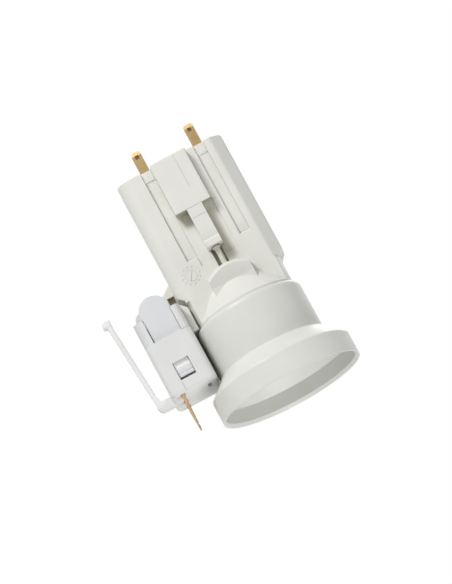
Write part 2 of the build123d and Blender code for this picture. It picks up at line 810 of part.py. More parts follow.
with BuildPart() as plug_shell:
    box_between((plug_left, -plug_half, plug_bottom), (plug_right, plug_half, plug_top))
    fillet(plug_shell.edges().filter_by(Axis.Z), plug_edge)
    fillet(plug_shell.faces().sort_by(Axis.Z)[0].edges(), plug_end_edge)
    box_between((core_x[0], -plug_half + plug_wall, cavity_bottom),
                (core_x[1], plug_half - plug_wall, plug_top), Mode.SUBTRACT)
    box_between((gap_x[0], -plug_half, panel_top), (gap_x[1], plug_half, plug_top), Mode.SUBTRACT)
    box_between((window_x[0], -plug_half, window_z[0]),
                (window_x[1], -plug_half + plug_wall, window_z[1]), Mode.SUBTRACT)
    # Slots for the three blades and a narrow keying slot in the end face
    for y in blade_y:
        box_between((blade_x - pin_thickness / 2 - pin_fit, y - pin_width / 2 - pin_fit, plug_bottom),
                    (blade_x + pin_thickness / 2 + pin_fit, y + pin_width / 2 + pin_fit, cavity_bottom),
                    Mode.SUBTRACT)
    key_slot = plug_right - key_slot_in
    box_between((key_slot, -key_slot_front, plug_bottom),
                (key_slot + key_slot_width, -key_slot_front + key_slot_length, cavity_bottom),
                Mode.SUBTRACT)
    # Pocket in the right wall for the carrier's stud
    box_between((core_x[1], stud_y - stud_half - stud_fit, stud_z[0] - stud_fit),
                (plug_right, stud_y + stud_half + stud_fit, stud_z[1] + stud_fit), Mode.SUBTRACT)
    # Lug for the strap, rounded at its outer corner
    with BuildSketch(Plane.XZ.offset(-strap_width / 2)):
        with BuildLine():
            lug_low, lug_top = plug_bottom + lug_up, plug_bottom + lug_up + strap_lug
            lug_root = plug_left + plug_side_wall / 2
            FilletPolyline(
                (lug_root, lug_low), (lug_root, lug_top), (strap_x, lug_top), (strap_x, lug_low),
                (lug_root, lug_low), radius=(0, 0, 0, lug_corner),
            )
        make_face()
    extrude(amount=strap_width)
save(plug_shell.part, "plug_shell")


# Strap: leans outwards and ends in a hooked head; its thin root folds on the lug
strap_low = lug_top + strap_gap
strap_top = strap_low + strap_height
with BuildPart() as retaining_strap:
    with BuildSketch(Plane.XZ.offset(-strap_width / 2)):
        with BuildLine():
            lean_x = strap_x - strap_lean
            Polyline(
                (strap_x, strap_low), (strap_x + strap_thickness, strap_low),
                (lean_x + strap_thickness, strap_top),
                (lean_x + strap_thickness + 0.3, strap_top + strap_head),
                (lean_x - strap_hook + 0.6, strap_top + strap_head),
                (lean_x - strap_hook, strap_top + strap_head - 0.8),
                (lean_x - strap_hook, strap_top + 0.3), (lean_x, strap_top), (strap_x, strap_low),
            )
        make_face()
    extrude(amount=strap_width)
    fillet(retaining_strap.faces().sort_by(Axis.Z)[-1].edges().filter_by(Axis.Y), 0.5)
save(retaining_strap.part, "retaining_strap")


# Plug core: block in the shell, domed plates in the panel gaps, a wire chamber with an inlet
core_low = (core_x[0] + plug_fit, -plug_half + plug_wall + plug_fit, cavity_bottom + plug_fit)
core_high = (core_x[1] - plug_fit, -core_low[1], plug_bottom + core_block_up)
dome_half = (gap_x[1] - gap_x[0] - dome_fit - dome_gap) / 2
dome_x = gap_x[1] - dome_fit - dome_half
dome_z = plug_bottom + dome_centre_up
chamber_z = plug_bottom + chamber_floor_up
clamp_y = inlet_depth / 2 + clamp_gap + clamp_width / 2
terminal_y = (-terminal_pitch, 0, terminal_pitch)
terminal_x = blade_x + terminal_offset
terminal_half = terminal_width / 2
well_half = terminal_half + pin_fit
slot_half = (pin_thickness / 2 + blade_fit, pin_width / 2 + blade_fit)
block_low = chamber_z - terminal_height - 0.1
block_top = block_low + terminal_height - pin_fit * 4
tab_root = plug_bottom + tab_root_up
tab_pocket = (window_x[0] - 0.2, window_x[1] + 0.2)
tab_depth = tab_thickness + tab_travel + tab_fit
chamber_half = core_high[1] - dome_plate - core_roof

with BuildPart() as plug_core:
    with BuildSketch(Plane.XZ.offset(core_low[1] + dome_plate)):
        with BuildLine():
            block_right = dome_x + dome_half
            FilletPolyline(
                (core_low[0], core_low[2]), (core_low[0], core_high[2]), (block_right, core_high[2]),
                (block_right, plug_top + dome_lift), (core_high[0], plug_top + dome_lift),
                (core_high[0], core_low[2]), (core_low[0], core_low[2]),
                radius=(0, core_block_corner, 0, 0, 0, 0),
            )
        make_face()
    extrude(amount=-2 * (core_low[1] + dome_plate))
    box_between(core_low, (core_high[0], core_high[1], panel_top - dome_gap))
    # Barrel roof, round at both ends, on plates that fill the gaps between the rails
    with BuildSketch(Plane.XZ.offset(-core_low[1])):
        with Locations((dome_x, dome_z)):
            Circle(dome_radius)
        with Locations((dome_x, plug_top + dome_lift)):
            Rectangle(4 * dome_radius, 2 * dome_radius, align=(Align.CENTER, Align.MAX),
                      mode=Mode.SUBTRACT)
        with Locations((dome_x, plug_top + dome_lift)):
            Rectangle(2 * dome_half, plug_top + dome_lift - panel_top + dome_gap,
                      align=(Align.CENTER, Align.MAX))
    extrude(amount=2 * core_low[1])
    # Wire chamber, inlet and terminal wells
    box_between((core_low[0] + chamber_side, -chamber_half, chamber_z),
                (core_high[0] - chamber_side, chamber_half, core_high[2] - core_roof), Mode.SUBTRACT)
    box_between((dome_x - inlet_width / 2, -inlet_depth / 2, core_high[2] - core_roof),
                (dome_x + inlet_width / 2, inlet_depth / 2, dome_z + dome_radius), Mode.SUBTRACT)
    for y in terminal_y:
        box_between((terminal_x - well_half, y - well_half, chamber_z - terminal_height - 0.2),
                    (terminal_x + well_half, y + well_half, chamber_z), Mode.SUBTRACT)
    for y, well in zip(blade_y, terminal_y):
        box_between((blade_x - slot_half[0], y - slot_half[1], core_low[2]),
                    (blade_x + slot_half[0], y + slot_half[1], block_low), Mode.SUBTRACT)
        box_between((blade_x - slot_half[0], min(y, well) - slot_half[1], block_low - bar_height - 0.1),
                    (blade_x + slot_half[0], max(y, well) + slot_half[1], block_low + 0.15),
                    Mode.SUBTRACT)
    # Holes for the clamp screws
    for side in (-1, 1):
        with Locations((dome_x + side * clamp_screw_offset, clamp_y, core_high[2] - core_roof)):
            Cylinder(clamp_screw, 2 * (clamp_screw_length - clamp_height) + pin_fit, mode=Mode.SUBTRACT)
    # Pocket behind the snap finger
    box_between((tab_pocket[0], core_low[1], window_z[0] - 0.4),
                (tab_pocket[1], core_low[1] + tab_depth, tab_root), Mode.SUBTRACT)
save(plug_core.part, "plug_core")


# Snap finger: hangs from its root and shows in the shell's window
tab_low = window_z[0] + tab_gap
with BuildPart() as release_tab:
    with BuildSketch(Plane.YZ.offset(window_x[0] + tab_fit)):
        with BuildLine():
            face_y = core_low[1]
            FilletPolyline(
                (face_y + 0.45, tab_root - tab_fit), (face_y + 0.1, window_z[1]),
                (face_y + 0.1, tab_low), (face_y + tab_thickness + 0.2, tab_low + 0.3),
                (face_y + tab_thickness + 0.2, tab_root - tab_fit),
                (face_y + 0.45, tab_root - tab_fit), radius=(0, 0.5, 0.7, 0.3, 0.3),
            )
        make_face()
    extrude(amount=window_width - 2 * tab_fit)
save(release_tab.part, "release_tab")


# Blades with their terminals
def blade(y, well):
    """Makes one blade: the flat pin, a cross bar and a terminal block with a screw hole."""
    blank = flat_pin(blade_x, y, "y", plug_bottom - pin_reach, block_low - plug_bottom + pin_reach, -1)
    with BuildPart() as piece:
        add(blank)
        box_between((blade_x - pin_thickness / 2, min(y, well) - pin_width / 2, block_low - bar_height),
                    (blade_x + pin_thickness / 2, max(y, well) + pin_width / 2, block_low + 0.1))
        box_between((terminal_x - terminal_half, well - terminal_half, block_low),
                    (terminal_x + terminal_half, well + terminal_half, block_top))
        with Locations((terminal_x, well, block_top)):
            Cylinder(terminal_screw_radius, 2 * screw_depth, mode=Mode.SUBTRACT)
    return piece.part


screw_top = chamber_z + terminal_screw_up
screw_depth = block_top - screw_top + terminal_screw_length + screw_fit
for y, well, name in zip(blade_y, terminal_y, ("live_blade", "earth_blade", "neutral_blade")):
    save(blade(y, well), name)

with BuildPart() as terminal_screws:
    for y in terminal_y:
        with Locations((terminal_x, y, screw_top)):
            Cylinder(terminal_screw_radius - screw_fit, terminal_screw_length,
                     align=(Align.CENTER, Align.CENTER, Align.MAX))
            Box(3 * terminal_screw_radius, screw_slot, 2 * screw_slot, mode=Mode.SUBTRACT)
save(terminal_screws.part, "terminal_screws")


# Cord clamp: a bar under the inlet, held by two screws into the roof
clamp_top = core_high[2] - core_roof
with BuildPart() as cord_clamp:
    inset = chamber_side + clamp_side
    box_between((core_low[0] + inset, clamp_y - clamp_width / 2, clamp_top - clamp_height),
                (core_high[0] - inset, clamp_y + clamp_width / 2, clamp_top))
    for side in (-1, 1):
        with Locations((dome_x + side * clamp_screw_offset, clamp_y, clamp_top)):
            Cylinder(clamp_screw, 3 * clamp_height, mode=Mode.SUBTRACT)
save(cord_clamp.part, "cord_clamp")

with BuildPart() as clamp_screws:
    for side in (-1, 1):
        with Locations((dome_x + side * clamp_screw_offset, clamp_y, clamp_top - clamp_height)):
            Cylinder(clamp_screw - screw_fit / 2, clamp_screw_length,
                     align=(Align.CENTER, Align.CENTER, Align.MIN))
            Cylinder(clamp_screw_head, clamp_head_height, align=(Align.CENTER, Align.CENTER, Align.MAX))
save(clamp_screws.part, "clamp_screws")


# Carrier: a pad pegged to the neck, a stud that the plug clips on, and a web beside the skirt
pad_x = (plug_right + carrier_gap, -neck_side)
with BuildPart() as plug_carrier:
    with BuildSketch(Plane.XZ.offset(carrier_pad_front)):
        with BuildLine():
            pad_top = left_bottom + neck_side - half_waist - carrier_top_gap
            Polyline((pad_x[0], carrier_pad_bottom), (pad_x[1], carrier_pad_bottom),
                     (pad_x[1], pad_top), (pad_x[0], pad_top + pad_x[1] - pad_x[0]),
                     (pad_x[0], carrier_pad_bottom))
        make_face()
    extrude(amount=-carrier_pad_depth)
    box_between((plug_right - carrier_stud, stud_y - stud_half, stud_z[0]),
                (pad_x[1], stud_y + stud_half, stud_z[1]))
    with Locations(Plane(origin=(pad_x[1], stud_y, peg_z), z_dir=(1, 0, 0))):
        Cylinder(carrier_peg, carrier_peg_length, align=(Align.CENTER, Align.CENTER, Align.MIN))
    web_right = -math.sqrt(skirt_radius ** 2 - carrier_web_front ** 2) - carrier_web_fit
    box_between((pad_x[0], carrier_web_front, carrier_web_bottom),
                (web_right, carrier_web_back, carrier_pad_bottom))
save(plug_carrier.part, "plug_carrier")
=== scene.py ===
"""Looks of a ceiling lamp holder with a spare plug clipped to its side.

Everything is in metres, in the frame of the solids: +Z up to the ceiling outlet, -Y the front
with the latch, and the origin at the centre of the cup's rim.
"""

import logging
import math
from collections.abc import Callable, Sequence
from dataclasses import dataclass, field
from enum import Enum
from typing import Any, Protocol

import bmesh
import bpy
from mathutils import Matrix, Vector


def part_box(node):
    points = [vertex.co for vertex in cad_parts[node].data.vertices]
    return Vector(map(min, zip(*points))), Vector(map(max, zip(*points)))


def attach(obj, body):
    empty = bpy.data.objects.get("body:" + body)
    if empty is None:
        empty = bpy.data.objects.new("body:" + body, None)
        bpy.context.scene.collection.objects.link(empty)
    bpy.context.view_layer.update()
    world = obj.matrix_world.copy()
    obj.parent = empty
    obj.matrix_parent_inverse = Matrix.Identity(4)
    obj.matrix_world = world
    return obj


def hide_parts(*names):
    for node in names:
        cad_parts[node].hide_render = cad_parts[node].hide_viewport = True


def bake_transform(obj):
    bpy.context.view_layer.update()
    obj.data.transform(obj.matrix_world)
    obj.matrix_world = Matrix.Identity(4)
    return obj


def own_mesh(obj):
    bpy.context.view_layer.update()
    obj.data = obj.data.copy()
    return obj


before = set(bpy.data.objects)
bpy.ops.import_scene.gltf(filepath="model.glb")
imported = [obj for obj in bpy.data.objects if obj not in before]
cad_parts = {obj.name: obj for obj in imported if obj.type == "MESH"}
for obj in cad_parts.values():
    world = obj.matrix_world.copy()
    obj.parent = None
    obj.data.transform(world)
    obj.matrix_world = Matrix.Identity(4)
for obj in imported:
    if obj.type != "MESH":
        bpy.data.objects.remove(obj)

logging.basicConfig(level=logging.INFO, format="%(message)s")
log = logging.getLogger("lamp_holder")

MM = 0.001
BEVEL_SAMPLES = 6
SHARP_ANGLE = math.radians(35)
CORNER_REACH = 0.48  # largest share of a side that a rounded corner takes
MEAN_GLOSS = 0.1  # what a metal's noises add to its roughness on average

Colour = tuple[float, float, float]
Point = tuple[float, float, float]
Corners = tuple[tuple[float, float, float], ...]
Link = Any


def srgb(red: int, green: int, blue: int) -> Colour:
    """Turns a screen colour into the linear one that shaders take.

    Args:
        red: Red, 0 to 255.
        green: Green, 0 to 255.
        blue: Blue, 0 to 255.

    Returns:
        The linear colour, 0 to 1.
    """
    def linear(level: int) -> float:
        """Undoes the screen curve for one channel."""
        share = level / 255
        return share / 12.92 if share <= 0.04045 else ((share + 0.055) / 1.055) ** 2.4

    return linear(red), linear(green), linear(blue)


def dimmed(colour: Colour, amount: float) -> Colour:
    """Returns a colour with each channel times amount, at most 1."""
    return tuple(min(1.0, channel * amount) for channel in colour)


def toned(colour: Colour, tone: Colour) -> Colour:
    """Returns a colour with each channel times that of a tone."""
    return tuple(channel * level for channel, level in zip(colour, tone))


class Signal:
    """One output of a shader node, which takes part in ordinary arithmetic."""

    def __init__(self, graph: "Graph", socket: bpy.types.NodeSocket) -> None:
        """Keeps the graph and the socket."""
        self.graph = graph
        self.socket = socket

    def _math(self, operation: str, *values: Link) -> "Signal":
        """Adds a Math node.

        Args:
            operation: The node's operation.
            values: Its inputs, signals or numbers.

        Returns:
            The node's result.
        """
        node = self.graph.node("ShaderNodeMath", {"operation": operation}, dict(enumerate(values)))
        return Signal(self.graph, node.outputs[0])

    def __add__(self, other: Link) -> "Signal":
        """Adds."""
        return self._math("ADD", self, other)

    __radd__ = __add__

    def __sub__(self, other: Link) -> "Signal":
        """Subtracts."""
        return self._math("SUBTRACT", self, other)

    def __rsub__(self, other: Link) -> "Signal":
        """Subtracts from a number."""
        return self._math("SUBTRACT", other, self)

    def __mul__(self, other: Link) -> "Signal":
        """Multiplies."""
        return self._math("MULTIPLY", self, other)

    __rmul__ = __mul__

    def __abs__(self) -> "Signal":
        """Drops the sign."""
        return self._math("ABSOLUTE", self)

    def at_least(self, other: Link) -> "Signal":
        """Returns the larger of the two."""
        return self._math("MAXIMUM", self, other)

    def clamped(self) -> "Signal":
        """Limits to the range 0 to 1."""
        return self._math("MINIMUM", self._math("MAXIMUM", self, 0.0), 1.0)

    def spread(self, low: float, high: float) -> "Signal":
        """Maps low..high to 0..1 and clamps, with numbers only."""
        return ((self - low) * (1 / (high - low))).clamped()


class Graph:
    """A node tree, and the few ways in which this file adds nodes to it."""

    def __init__(self, owner: bpy.types.Material | bpy.types.World) -> None:
        """Empties the tree of a material or world.

        Args:
            owner: The material or world whose tree is built.
        """
        owner.use_nodes = True
        self.tree = owner.node_tree
        self.tree.nodes.clear()

    def node(self, kind: str, settings: dict[str, Any] | None = None,
             inputs: dict[Any, Link] | None = None) -> bpy.types.Node:
        """Adds one node.

        Args:
            kind: The node's type.
            settings: Its properties by name, such as a Math node's operation, set first.
            inputs: Values or signals by socket name or number.

        Returns:
            The node.
        """
        made = self.tree.nodes.new(kind)
        for name, value in (settings or {}).items():
            setattr(made, name, value)
        for key, value in (inputs or {}).items():
            socket = made.inputs[key]
            if isinstance(value, Signal):
                self.tree.links.new(value.socket, socket)
            else:
                socket.default_value = self._fitted(socket, value)
        return made

    @staticmethod
    def _fitted(socket: bpy.types.NodeSocket, value: Link) -> Link:
        """Gives a colour its fourth channel where the socket wants one.

        Args:
            socket: The socket.
            value: Its value.

        Returns:
            The value that fits.
        """
        if socket.type == "RGBA" and len(value) == 3:
            return (*value, 1.0)
        return value

    def signal(self, node: bpy.types.Node, output: int | str = 0) -> Signal:
        """Wraps a node's output."""
        return Signal(self, node.outputs[output])

    def place(self) -> Signal:
        """Returns the point on the surface, in the frame's metres."""
        return self.signal(self.node("ShaderNodeTexCoord"), "Object")

    def stretched(self, place: Signal, factors: Sequence[float]) -> Signal:
        """Scales a point along each axis.

        Args:
            place: The point.
            factors: Factor on X, Y and Z.

        Returns:
            The scaled point.
        """
        node = self.node("ShaderNodeVectorMath", {"operation": "MULTIPLY"}, {0: place, 1: factors})
        return self.signal(node)

    def patch(self, place: Signal, region: "Region") -> Signal:
        """Returns 1 inside a box of space, fading to 0 at its faces.

        Args:
            place: The point.
            region: The box.

        Returns:
            The mask.
        """
        split = self.node("ShaderNodeSeparateXYZ", None, {0: place})
        mask: Link = 1.0
        for index, (middle, half) in enumerate(zip(region.middle, region.half)):
            gap = abs(self.signal(split, index) - middle)
            mask = ((half - gap) * (1 / region.fade)).clamped() * mask
        return mask

    def noise(self, place: Signal, size: float, detail: float = 2.0, roughness: float = 0.5) -> Signal:
        """Adds a noise.

        Args:
            place: Where it is read.
            size: Width of its largest blobs, in metres.
            detail: Number of octaves.
            roughness: Weight of the fine octaves.

        Returns:
            The noise, 0 to 1.
        """
        node = self.node("ShaderNodeTexNoise", None,
                         {"Vector": place, "Scale": 1 / size, "Detail": detail, "Roughness": roughness})
        return self.signal(node)

    def colour_mix(self, share: Link, low: Link, high: Link) -> Signal:
        """Blends two colours.

        Args:
            share: 0 for low, 1 for high.
            low: First colour.
            high: Second colour.

        Returns:
            The blend.
        """
        node = self.node("ShaderNodeMix", {"data_type": "RGBA"}, {0: share, 6: low, 7: high})
        return self.signal(node, 2)

    def rounded_edge(self, radius: float) -> Signal:
        """Returns a normal that rolls over sharp edges.

        Args:
            radius: Radius of the roll, in metres.

        Returns:
            The normal.
        """
        return self.signal(self.node("ShaderNodeBevel", {"samples": BEVEL_SAMPLES}, {"Radius": radius}))

    def edge_mask(self, normal: Signal, gain: float = 4.0) -> Signal:
        """Returns 0 on flat ground and up to 1 along an edge.

        Args:
            normal: The rounded normal.
            gain: How fast the mask grows as the normal turns.

        Returns:
            The mask.
        """
        flat = self.signal(self.node("ShaderNodeNewGeometry"), "True Normal")
        node = self.node("ShaderNodeVectorMath", {"operation": "DOT_PRODUCT"}, {0: normal, 1: flat})
        return ((1.0 - self.signal(node, "Value")) * gain).clamped()

    def bumped(self, height: Signal, depth: float, normal: Signal | None = None) -> Signal:
        """Turns a height of 0 to 1 into a normal.

        Args:
            height: The height.
            depth: Metres from 0 to 1.
            normal: The normal below it.

        Returns:
            The bumped normal.
        """
        inputs: dict[str, Link] = {"Strength": 1.0, "Distance": depth, "Height": height}
        if normal is not None:
            inputs["Normal"] = normal
        return self.signal(self.node("ShaderNodeBump", None, inputs))

    def finish(self, **sockets: Link) -> None:
        """Ends a material in one Principled shader.

        Args:
            sockets: Values and signals by socket name, with _ for a space.
        """
        inputs = {name.replace("_", " "): value for name, value in sockets.items()}
        shader = self.node("ShaderNodeBsdfPrincipled", None, inputs)
        self.node("ShaderNodeOutputMaterial", None, {"Surface": self.signal(shader)})


class Finish(Protocol):
    """Anything that can make a material."""

    @property
    def name(self) -> str:
        """Name of the material."""
        ...

    def material(self) -> bpy.types.Material:
        """Builds the material."""
        ...


@dataclass(frozen=True)
class Region:
    """A box of space in which a finish differs, with soft faces."""

    middle: Point
    half: Point
    fade: float
    tone: Colour

    @classmethod
    def mm(cls, middle: Point, half: Point, fade: float = 0.12, tone: Colour = (0.5, 0.5, 0.5)) -> "Region":
        """Makes a region from sizes in millimetres.

        Args:
            middle: Middle of the box.
            half: Half of its size along each axis.
            fade: Depth of its soft faces.
            tone: What the finish's colour is multiplied by.

        Returns:
            The region, in metres.
        """
        place, reach = (tuple(value * MM for value in row) for row in (middle, half))
        return cls(place, reach, fade * MM, tone)


@dataclass(frozen=True)
class MouldedPlastic:
    """White moulded plastic: faint clouding, fine spark-eroded grain and softly rolled edges, with a
    painted highlight along the edges and boxes of painted light and shade.
    """

    name: str
    colour: Colour
    roughness: float = 0.42
    grain_size: float = 0.22 * MM
    grain_depth: float = 0.006 * MM
    grain_gloss: float = 0.16
    ripple_size: float = 2.6 * MM
    ripple_depth: float = 0.012 * MM
    cloud_size: float = 11 * MM
    cloud_gloss: float = 0.1
    clouding: float = 0.03
    edge_radius: float = 0.22 * MM
    # edge_share and edge_light set a painted highlight: how much lighter the rounded edges are made.
    edge_share: float = 0.35
    edge_light: float = 1.06
    seams: tuple[Region, ...] = ()
    seam_depth: float = 0.12 * MM
    seam_share: float = 0.75
    # Boxes in which light and shade are painted into the colour.
    painted_shading: tuple[Region, ...] = ()
    refraction: float = 1.47
    reflection: float = 0.45

    def material(self) -> bpy.types.Material:
        """Builds the material.

        Returns:
            The material.
        """
        made = bpy.data.materials.new(self.name)
        graph = Graph(made)
        place = graph.place()
        cloud = graph.noise(place, self.cloud_size, detail=3.0)
        grain = graph.noise(place, self.grain_size, roughness=0.6)
        ripple = graph.noise(place, self.ripple_size, detail=1.0)
        edge = graph.rounded_edge(self.edge_radius)
        mask = graph.edge_mask(edge)
        deep = dimmed(self.colour, 1 - self.clouding)
        lit = dimmed(self.colour, 1 + self.clouding * 0.6)
        body = graph.colour_mix(cloud.spread(0.3, 0.7), deep, lit)
        # Painted highlight: rounded edges are made lighter in colour.
        tinted = graph.colour_mix(mask * self.edge_share, body, dimmed(self.colour, self.edge_light))
        normal = graph.bumped(ripple, self.ripple_depth, graph.bumped(grain, self.grain_depth, edge))
        # Painted light and shade: each box multiplies the colour by its tone.
        for shade in self.painted_shading:
            tinted = graph.colour_mix(graph.patch(place, shade), tinted, toned(self.colour, shade.tone))
        for seam in self.seams:
            line = graph.patch(place, seam)
            tinted = graph.colour_mix(line * self.seam_share, tinted, toned(self.colour, seam.tone))
            normal = graph.bumped(1.0 - line, self.seam_depth, normal)
        gloss = (grain - 0.5) * self.grain_gloss + (cloud - 0.5) * self.cloud_gloss + self.roughness
        graph.finish(
            Base_Color=tinted, Roughness=gloss, Normal=normal,
            IOR=self.refraction, Specular_IOR_Level=self.reflection,
        )
        return made


@dataclass(frozen=True)
class StampedMetal:
    """Stamped sheet or bar: drawn lines along the blank, dull patches and bright sheared edges."""

    name: str
    colour: Colour
    tarnish: Colour
    roughness: float = 0.3
    line_size: float = 0.16 * MM
    line_stretch: float = 0.04
    line_depth: float = 0.004 * MM
    line_gloss: float = 0.14
    patch_size: float = 3.4 * MM
    speck_size: float = 0.45 * MM
    wear_gloss: float = 0.16
    edge_radius: float = 0.12 * MM
    edge_share: float = 0.6
    edge_light: float = 1.5
    stains: tuple[Region, ...] = ()
    stain: Colour = (0.09, 0.055, 0.025)

    def material(self) -> bpy.types.Material:
        """Builds the material.

        Returns:
            The material.
        """
        made = bpy.data.materials.new(self.name)
        graph = Graph(made)
        place = graph.place()
        drawn = graph.stretched(place, (1.0, 1.0, self.line_stretch))
        lines = graph.noise(drawn, self.line_size, detail=3.0, roughness=0.6)
        patch = graph.noise(place, self.patch_size, detail=4.0, roughness=0.6)
        speck = graph.noise(place, self.speck_size)
        edge = graph.rounded_edge(self.edge_radius)
        mask = graph.edge_mask(edge)
        worn = (patch.spread(0.42, 0.72) * 0.7 + speck.spread(0.6, 0.8) * 0.3).clamped()
        body = graph.colour_mix(worn, self.colour, self.tarnish)
        bright = graph.colour_mix(mask * self.edge_share, body, dimmed(self.colour, self.edge_light))
        for region in self.stains:
            spread = graph.patch(place, region) * (0.55 + speck * 0.4)
            bright = graph.colour_mix(spread, bright, self.stain)
        gloss = lines * self.line_gloss + worn * self.wear_gloss + (self.roughness - MEAN_GLOSS)
        graph.finish(
            Base_Color=bright, Metallic=1.0, Roughness=gloss,
            Normal=graph.bumped(lines, self.line_depth, edge),
        )
        return made


@dataclass(frozen=True)
class RolledShell:
    """Thin plated shell: turning lines round the axis and a faint warm film."""

    name: str
    colour: Colour
    film: Colour
    roughness: float = 0.26
    ring_size: float = 0.14 * MM
    ring_stretch: float = 0.06
    ring_depth: float = 0.003 * MM
    ring_gloss: float = 0.16
    patch_size: float = 5 * MM
    patch_gloss: float = 0.1

    def material(self) -> bpy.types.Material:
        """Builds the material.

        Returns:
            The material.
        """
        made = bpy.data.materials.new(self.name)
        graph = Graph(made)
        place = graph.place()
        turned = graph.stretched(place, (self.ring_stretch, self.ring_stretch, 1.0))
        rings = graph.noise(turned, self.ring_size, detail=3.0, roughness=0.6)
        patch = graph.noise(place, self.patch_size, detail=3.0)
        film = graph.colour_mix(patch.spread(0.4, 0.7), self.colour, self.film)
        gloss = rings * self.ring_gloss + patch * self.patch_gloss + (self.roughness - MEAN_GLOSS)
        graph.finish(
            Base_Color=film, Metallic=1.0, Roughness=gloss, Normal=graph.bumped(rings, self.ring_depth),
        )
        return made


@dataclass(frozen=True)
class ZincSteel:
    """Zinc-plated steel of small screws and wire: bright, with a fine crystal mottle."""

    name: str
    colour: Colour
    roughness: float = 0.3
    crystal_size: float = 0.3 * MM
    crystal_depth: float = 0.004 * MM
    crystal_gloss: float = 0.2
    film_size: float = 1.6 * MM
    film_shade: float = 0.82
    edge_radius: float = 0.1 * MM

    def material(self) -> bpy.types.Material:
        """Builds the material.

        Returns:
            The material.
        """
        made = bpy.data.materials.new(self.name)
        graph = Graph(made)
        place = graph.place()
        crystal = graph.noise(place, self.crystal_size, detail=3.0, roughness=0.7)
        film = graph.noise(place, self.film_size)
        edge = graph.rounded_edge(self.edge_radius)
        tint = graph.colour_mix(film.spread(0.35, 0.7), self.colour, dimmed(self.colour, self.film_shade))
        gloss = crystal * self.crystal_gloss + (self.roughness - MEAN_GLOSS)
        graph.finish(
            Base_Color=tint, Metallic=1.0, Roughness=gloss,
            Normal=graph.bumped(crystal, self.crystal_depth, edge),
        )
        return made


class Plastics(Enum):
    """The plastics of the holder."""

    HOUSING = MouldedPlastic("housing_plastic", srgb(231, 231, 224), seams=(
        Region.mm((0.25, -10.7, 64.75), (2.2, 0.6, 0.13), 0.1, (0.8, 0.8, 0.78)),
    ), painted_shading=(
        # Painted shade: the notches under the slider's head, the tongue's cast shadow, the head's
        # underside, the well round the rod and two hollows by the plug's arm.
        Region.mm((-4.0, -6.0, 66.6), (2.9, 1.9, 3.6), 1.8, (0.7, 0.66, 0.58)),
        Region.mm((4.4, -6.2, 67.4), (2.6, 1.5, 2.8), 1.2, (0.93, 0.9, 0.84)),
        Region.mm((3.3, -6.2, 57.0), (2.7, 1.7, 10.5), 1.6, (0.76, 0.73, 0.66)),
        Region.mm((0.25, -8.6, 68.5), (8.0, 1.95, 0.3), 0.15, (0.5, 0.48, 0.42)),
        Region.mm((0.25, -4.4, 50.0), (2.8, 1.2, 5.0), 0.5, (0.6, 0.55, 0.45)),
        Region.mm((-20.6, 13.8, 48.7), (1.9, 1.5, 1.7), 0.4, (0.56, 0.51, 0.43)),
        Region.mm((-18.0, 1.0, 43.2), (2.0, 5.0, 2.0), 0.8, (0.66, 0.61, 0.52)),
    ))
    SKIRT = MouldedPlastic("skirt_plastic", srgb(229, 230, 224), roughness=0.36, grain_depth=0.003 * MM,
                           ripple_size=5 * MM)
    PLUG = MouldedPlastic("plug_plastic", srgb(229, 230, 228), ripple_size=3.4 * MM, seams=(
        Region.mm((-20.9, -12.0, 33.0), (1.9, 4.0, 0.11), 0.08),
        Region.mm((-30.9, -12.5, 15.9), (0.09, 0.8, 1.6), 0.08),
    ), painted_shading=(
        # Painted shade on the faces of the left and right rails.
        Region.mm((-37.0, -11.5, 38.4), (2.6, 5.0, 5.6), 0.25, (0.9, 0.9, 0.93)),
        Region.mm((-19.6, -11.4, 38.4), (1.5, 3.0, 5.3), 0.4, (0.87, 0.85, 0.86)),
    ))
    STRAP = MouldedPlastic("strap_plastic", srgb(239, 239, 237), roughness=0.45, grain_depth=0.002 * MM,
                           ripple_depth=0.004 * MM, edge_radius=0.0)
    CORE = MouldedPlastic("core_plastic", srgb(224, 226, 227), roughness=0.4)
    # A lighter copy of the core plastic: painted light on the snap finger, painted shade in the gap at its
    # bottom and painted light over the window's shadow at its top.
    FINGER_PAINTED_LIGHT = MouldedPlastic("finger_plastic_painted_light", srgb(232, 233, 234), roughness=0.4, edge_radius=0.0, painted_shading=(
        Region.mm((-28.2, -11.0, 18.2), (4.0, 2.0, 0.75), 0.2, (0.3, 0.25, 0.2)),
        Region.mm((-28.2, -11.0, 24.0), (4.0, 2.0, 2.4), 1.0, (1.22, 1.22, 1.2)),
    ))
    ROD = MouldedPlastic("rod_plastic", srgb(220, 218, 206), grain_depth=0.002 * MM, edge_radius=0.1 * MM)
    INSULATOR = MouldedPlastic("insulator_moulding", srgb(226, 223, 210), roughness=0.55,
                               grain_depth=0.01 * MM, clouding=0.06)


class Metals(Enum):
    """The metals of the holder."""

    BRASS = StampedMetal("stamped_brass", srgb(184, 158, 112), srgb(154, 128, 86))
    PIN = StampedMetal("pin_brass", srgb(184, 158, 112), srgb(150, 124, 84), stains=tuple(
        Region.mm((x, -3.2, 94.2), (0.72, 0.7, 0.62)) for x in (-8.6, 11.2)))
    BLADE = StampedMetal("blade_brass", srgb(200, 172, 132), srgb(158, 128, 92), roughness=0.36)
    SHELL = RolledShell("plated_shell", srgb(208, 202, 190), srgb(184, 172, 150))
    STEEL = ZincSteel("zinc_steel", srgb(204, 206, 208))


